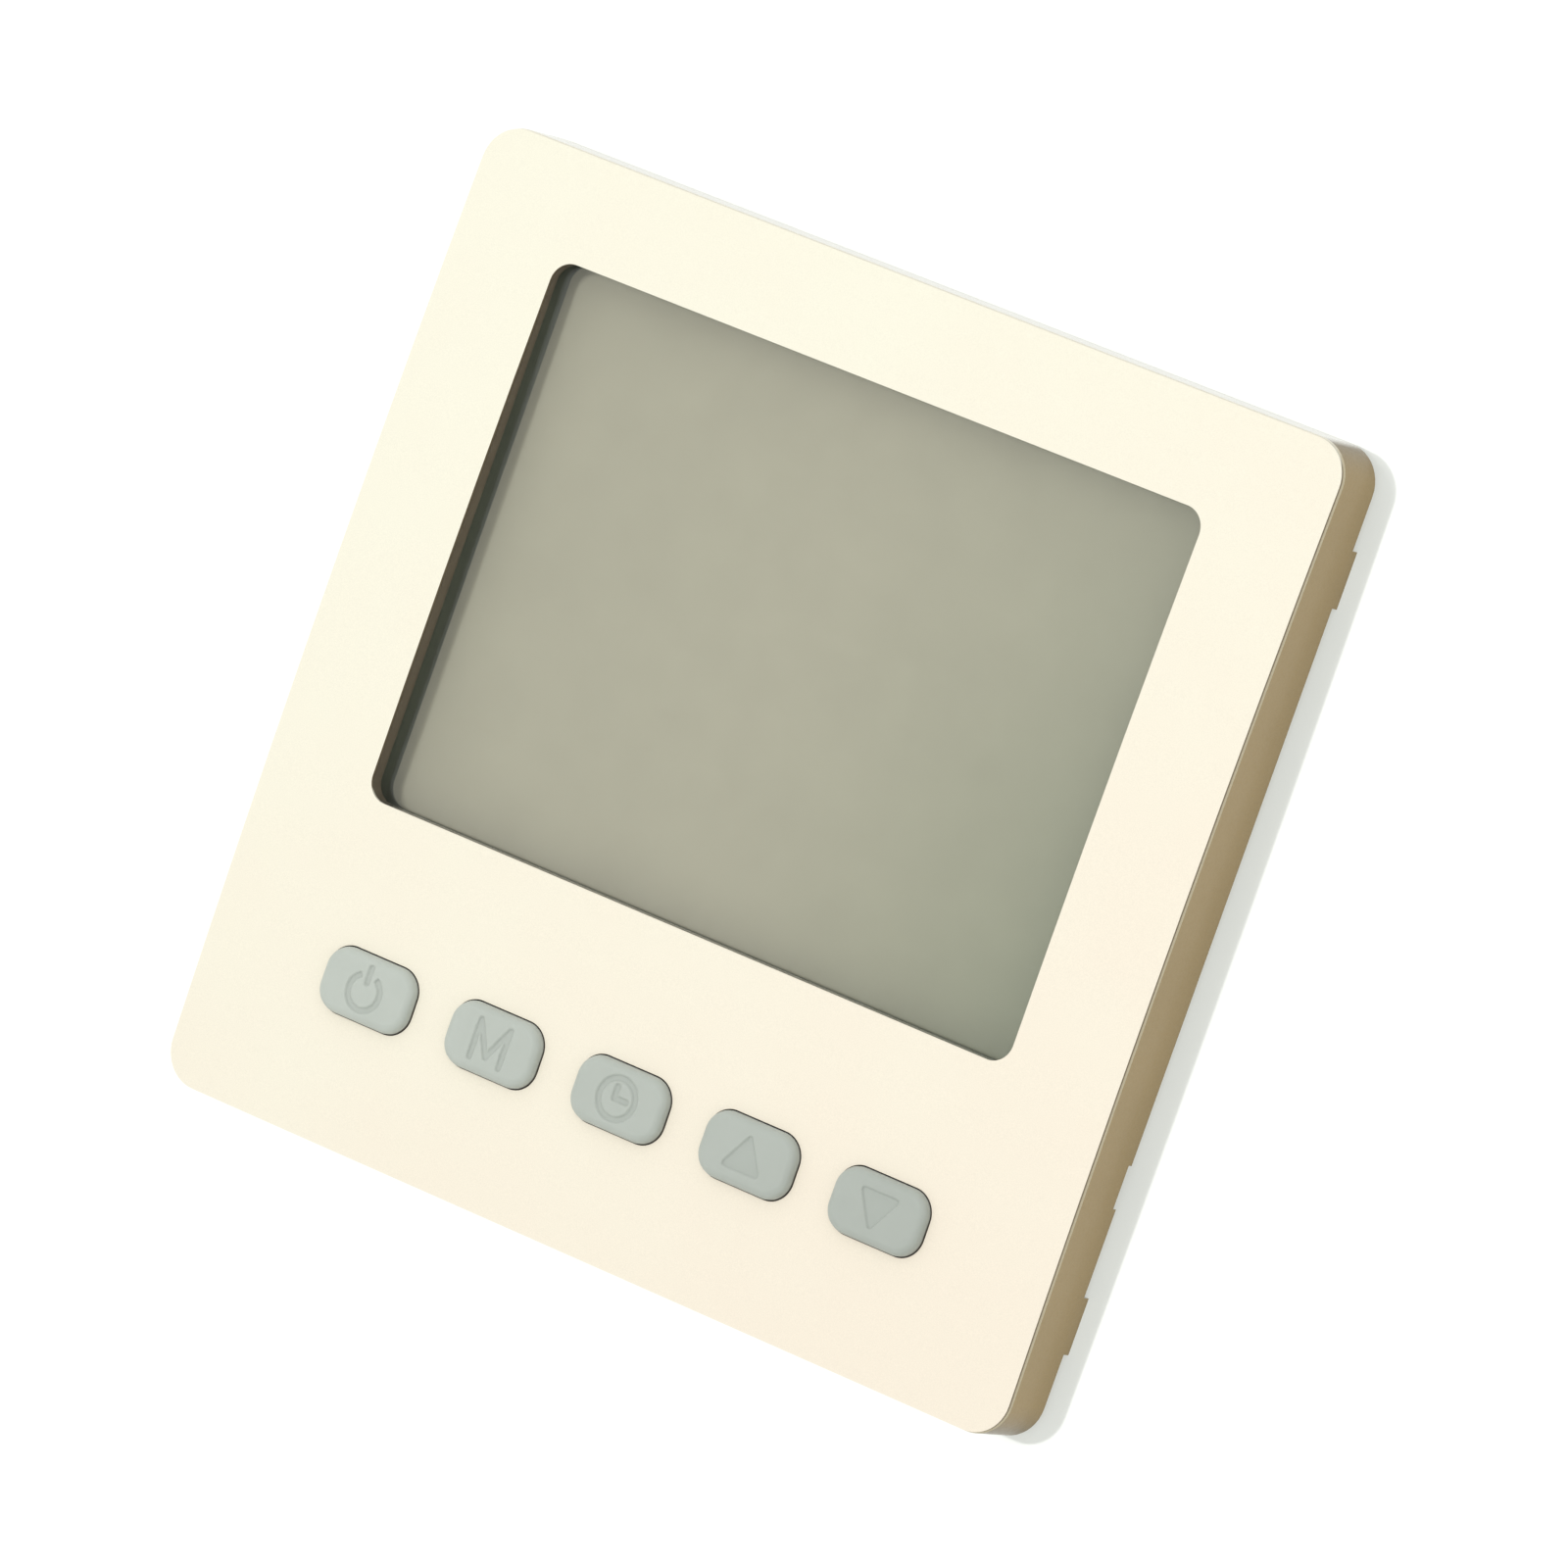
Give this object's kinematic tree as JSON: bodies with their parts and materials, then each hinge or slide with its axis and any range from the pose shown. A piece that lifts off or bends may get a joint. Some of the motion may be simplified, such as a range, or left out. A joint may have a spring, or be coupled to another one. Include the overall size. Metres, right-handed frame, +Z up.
{
  "type": "programmable heating timer",
  "caption": "Square wall-mounted programmable timer with a large display window, a row of soft keys and a rear mains box with screw terminals.",
  "frame": {"origin": "midway between the two wall screw slots, on the wall side of the steel mounting plate", "axes": "the display faces -Y, +Y goes into the wall, +X is to the right seen from the front, +Z is up"},
  "size_m": [0.086, 0.0354, 0.086],
  "materials": {
    "cream_cover": "satin pearl, very fine grain",
    "adhesive": "clear double-sided tape",
    "bronze_shell": "satin metallic paint",
    "polariser": "glossy film",
    "lcd_glass": "polished",
    "rear_film": "satin silver-grey film",
    "light_guide": "clear acrylic",
    "reflector_film": "white film",
    "led": "moulded, yellow phosphor",
    "black_plastic": "fine moulded texture",
    "zebra": "layered silicone",
    "board_green": "solder mask over glass fibre",
    "small_screws": "zinc plated",
    "chip_black": "moulded epoxy",
    "small_parts": "ceramic and epoxy",
    "crystal_can": "drawn can",
    "cell_steel": "stainless",
    "sensor_bead": "epoxy bead",
    "pin_brass": "gold flash",
    "silicone_key": "satin silicone, translucent grey",
    "silicone_mat": "satin silicone",
    "carbon_pill": "conductive carbon rubber",
    "zinc_plate": "zinc plated, lightly rolled",
    "rear_plastic": "fine spark-eroded texture",
    "relay_case": "moulded case",
    "winding": "taped copper winding and ferrite",
    "capacitor_yellow": "moulded box",
    "can_sleeve": "shrink sleeve",
    "varistor_blue": "dipped epoxy",
    "fuse_ceramic": "ceramic tube, nickel caps",
    "terminal_plastic": "moulded polyamide",
    "contact_tin": "tinned brass",
    "clamp_steel": "zinc plated",
    "terminal_screw_steel": "zinc plated"
  },
  "bodies": {
    "wall_base": {"mounting_plate": "zinc_plate", "plate_screws": "small_screws", "rear_housing": "rear_plastic", "power_board": "board_green", "power_board_screws": "small_screws", "link_socket": "black_plastic", "relay": "relay_case", "transformer": "winding", "mains_capacitor": "capacitor_yellow", "smoothing_capacitor": "can_sleeve", "varistor": "varistor_blue", "fuse": "fuse_ceramic", "power_board_parts": "small_parts", "terminal_block": "terminal_plastic", "terminal_contacts": "contact_tin"},
    "front_unit": {"backlight_guide": "light_guide", "backlight_leds": "led", "backlight_reflector": "reflector_film", "backup_cell": "cell_steel", "cell_holder": "black_plastic", "clock_crystal": "crystal_can", "controller_chip": "chip_black", "display_board": "board_green", "display_board_parts": "small_parts", "display_board_screws": "small_screws", "front_panel": "cream_cover", "front_shell": "bronze_shell", "keypad_mat": "silicone_mat", "lcd_front_glass": "lcd_glass", "lcd_front_polariser": "polariser", "lcd_holder": "black_plastic", "lcd_rear_glass": "lcd_glass", "lcd_rear_polariser": "rear_film", "link_pin_block": "black_plastic", "link_pins": "pin_brass", "panel_adhesive": "adhesive", "room_sensor": "sensor_bead", "zebra_strip": "zebra"},
    "power_key": {"key_power": "silicone_key", "pill_power": "carbon_pill"},
    "mode_key": {"key_mode": "silicone_key", "pill_mode": "carbon_pill"},
    "clock_key": {"key_clock": "silicone_key", "pill_clock": "carbon_pill"},
    "up_key": {"key_up": "silicone_key", "pill_up": "carbon_pill"},
    "down_key": {"key_down": "silicone_key", "pill_down": "carbon_pill"},
    "screw_1": {"terminal_screw_1": "terminal_screw_steel"},
    "clamp_1": {"terminal_cage_1": "clamp_steel"},
    "screw_2": {"terminal_screw_2": "terminal_screw_steel"},
    "clamp_2": {"terminal_cage_2": "clamp_steel"},
    "screw_3": {"terminal_screw_3": "terminal_screw_steel"},
    "clamp_3": {"terminal_cage_3": "clamp_steel"},
    "screw_4": {"terminal_screw_4": "terminal_screw_steel"},
    "clamp_4": {"terminal_cage_4": "clamp_steel"},
    "screw_5": {"terminal_screw_5": "terminal_screw_steel"},
    "clamp_5": {"terminal_cage_5": "clamp_steel"},
    "screw_6": {"terminal_screw_6": "terminal_screw_steel"},
    "clamp_6": {"terminal_cage_6": "clamp_steel"}
  },
  "joints": [
    {"name": "front_unit_pull_off", "type": "slide", "parent": "wall_base", "child": "front_unit", "axis": [0, -1, 0], "range_m": [0, 0.03]},
    {"name": "power_key_press", "type": "slide", "parent": "front_unit", "child": "power_key", "axis": [0, 1, 0], "range_m": [0, 0.001], "stiffness_N_per_m": 150},
    {"name": "mode_key_press", "type": "slide", "parent": "front_unit", "child": "mode_key", "axis": [0, 1, 0], "range_m": [0, 0.001], "stiffness_N_per_m": 150},
    {"name": "clock_key_press", "type": "slide", "parent": "front_unit", "child": "clock_key", "axis": [0, 1, 0], "range_m": [0, 0.001], "stiffness_N_per_m": 150},
    {"name": "up_key_press", "type": "slide", "parent": "front_unit", "child": "up_key", "axis": [0, 1, 0], "range_m": [0, 0.001], "stiffness_N_per_m": 150},
    {"name": "down_key_press", "type": "slide", "parent": "front_unit", "child": "down_key", "axis": [0, 1, 0], "range_m": [0, 0.001], "stiffness_N_per_m": 150},
    {"name": "terminal_screw_1_turn", "type": "hinge", "parent": "wall_base", "child": "screw_1", "pos_m": [-0.01875, 0.0196, -0.0229], "axis": [0, -1, 0], "range_deg": [0, 1728]},
    {"name": "terminal_clamp_1_rise", "type": "slide", "parent": "wall_base", "child": "clamp_1", "axis": [0, 1, 0], "range_m": [0, 0.0024]},
    {"name": "terminal_screw_2_turn", "type": "hinge", "parent": "wall_base", "child": "screw_2", "pos_m": [-0.01125, 0.0196, -0.0229], "axis": [0, -1, 0], "range_deg": [0, 1728]},
    {"name": "terminal_clamp_2_rise", "type": "slide", "parent": "wall_base", "child": "clamp_2", "axis": [0, 1, 0], "range_m": [0, 0.0024]},
    {"name": "terminal_screw_3_turn", "type": "hinge", "parent": "wall_base", "child": "screw_3", "pos_m": [-0.00375, 0.0196, -0.0229], "axis": [0, -1, 0], "range_deg": [0, 1728]},
    {"name": "terminal_clamp_3_rise", "type": "slide", "parent": "wall_base", "child": "clamp_3", "axis": [0, 1, 0], "range_m": [0, 0.0024]},
    {"name": "terminal_screw_4_turn", "type": "hinge", "parent": "wall_base", "child": "screw_4", "pos_m": [0.00375, 0.0196, -0.0229], "axis": [0, -1, 0], "range_deg": [0, 1728]},
    {"name": "terminal_clamp_4_rise", "type": "slide", "parent": "wall_base", "child": "clamp_4", "axis": [0, 1, 0], "range_m": [0, 0.0024]},
    {"name": "terminal_screw_5_turn", "type": "hinge", "parent": "wall_base", "child": "screw_5", "pos_m": [0.01125, 0.0196, -0.0229], "axis": [0, -1, 0], "range_deg": [0, 1728]},
    {"name": "terminal_clamp_5_rise", "type": "slide", "parent": "wall_base", "child": "clamp_5", "axis": [0, 1, 0], "range_m": [0, 0.0024]},
    {"name": "terminal_screw_6_turn", "type": "hinge", "parent": "wall_base", "child": "screw_6", "pos_m": [0.01875, 0.0196, -0.0229], "axis": [0, -1, 0], "range_deg": [0, 1728]},
    {"name": "terminal_clamp_6_rise", "type": "slide", "parent": "wall_base", "child": "clamp_6", "axis": [0, 1, 0], "range_m": [0, 0.0024]}
  ],
  "couplings": [
    {"joint": "terminal_screw_1_turn", "follows": "terminal_clamp_1_rise", "rad_per_m": 12566},
    {"joint": "terminal_screw_2_turn", "follows": "terminal_clamp_2_rise", "rad_per_m": 12566},
    {"joint": "terminal_screw_3_turn", "follows": "terminal_clamp_3_rise", "rad_per_m": 12566},
    {"joint": "terminal_screw_4_turn", "follows": "terminal_clamp_4_rise", "rad_per_m": 12566},
    {"joint": "terminal_screw_5_turn", "follows": "terminal_clamp_5_rise", "rad_per_m": 12566},
    {"joint": "terminal_screw_6_turn", "follows": "terminal_clamp_6_rise", "rad_per_m": 12566}
  ]
}
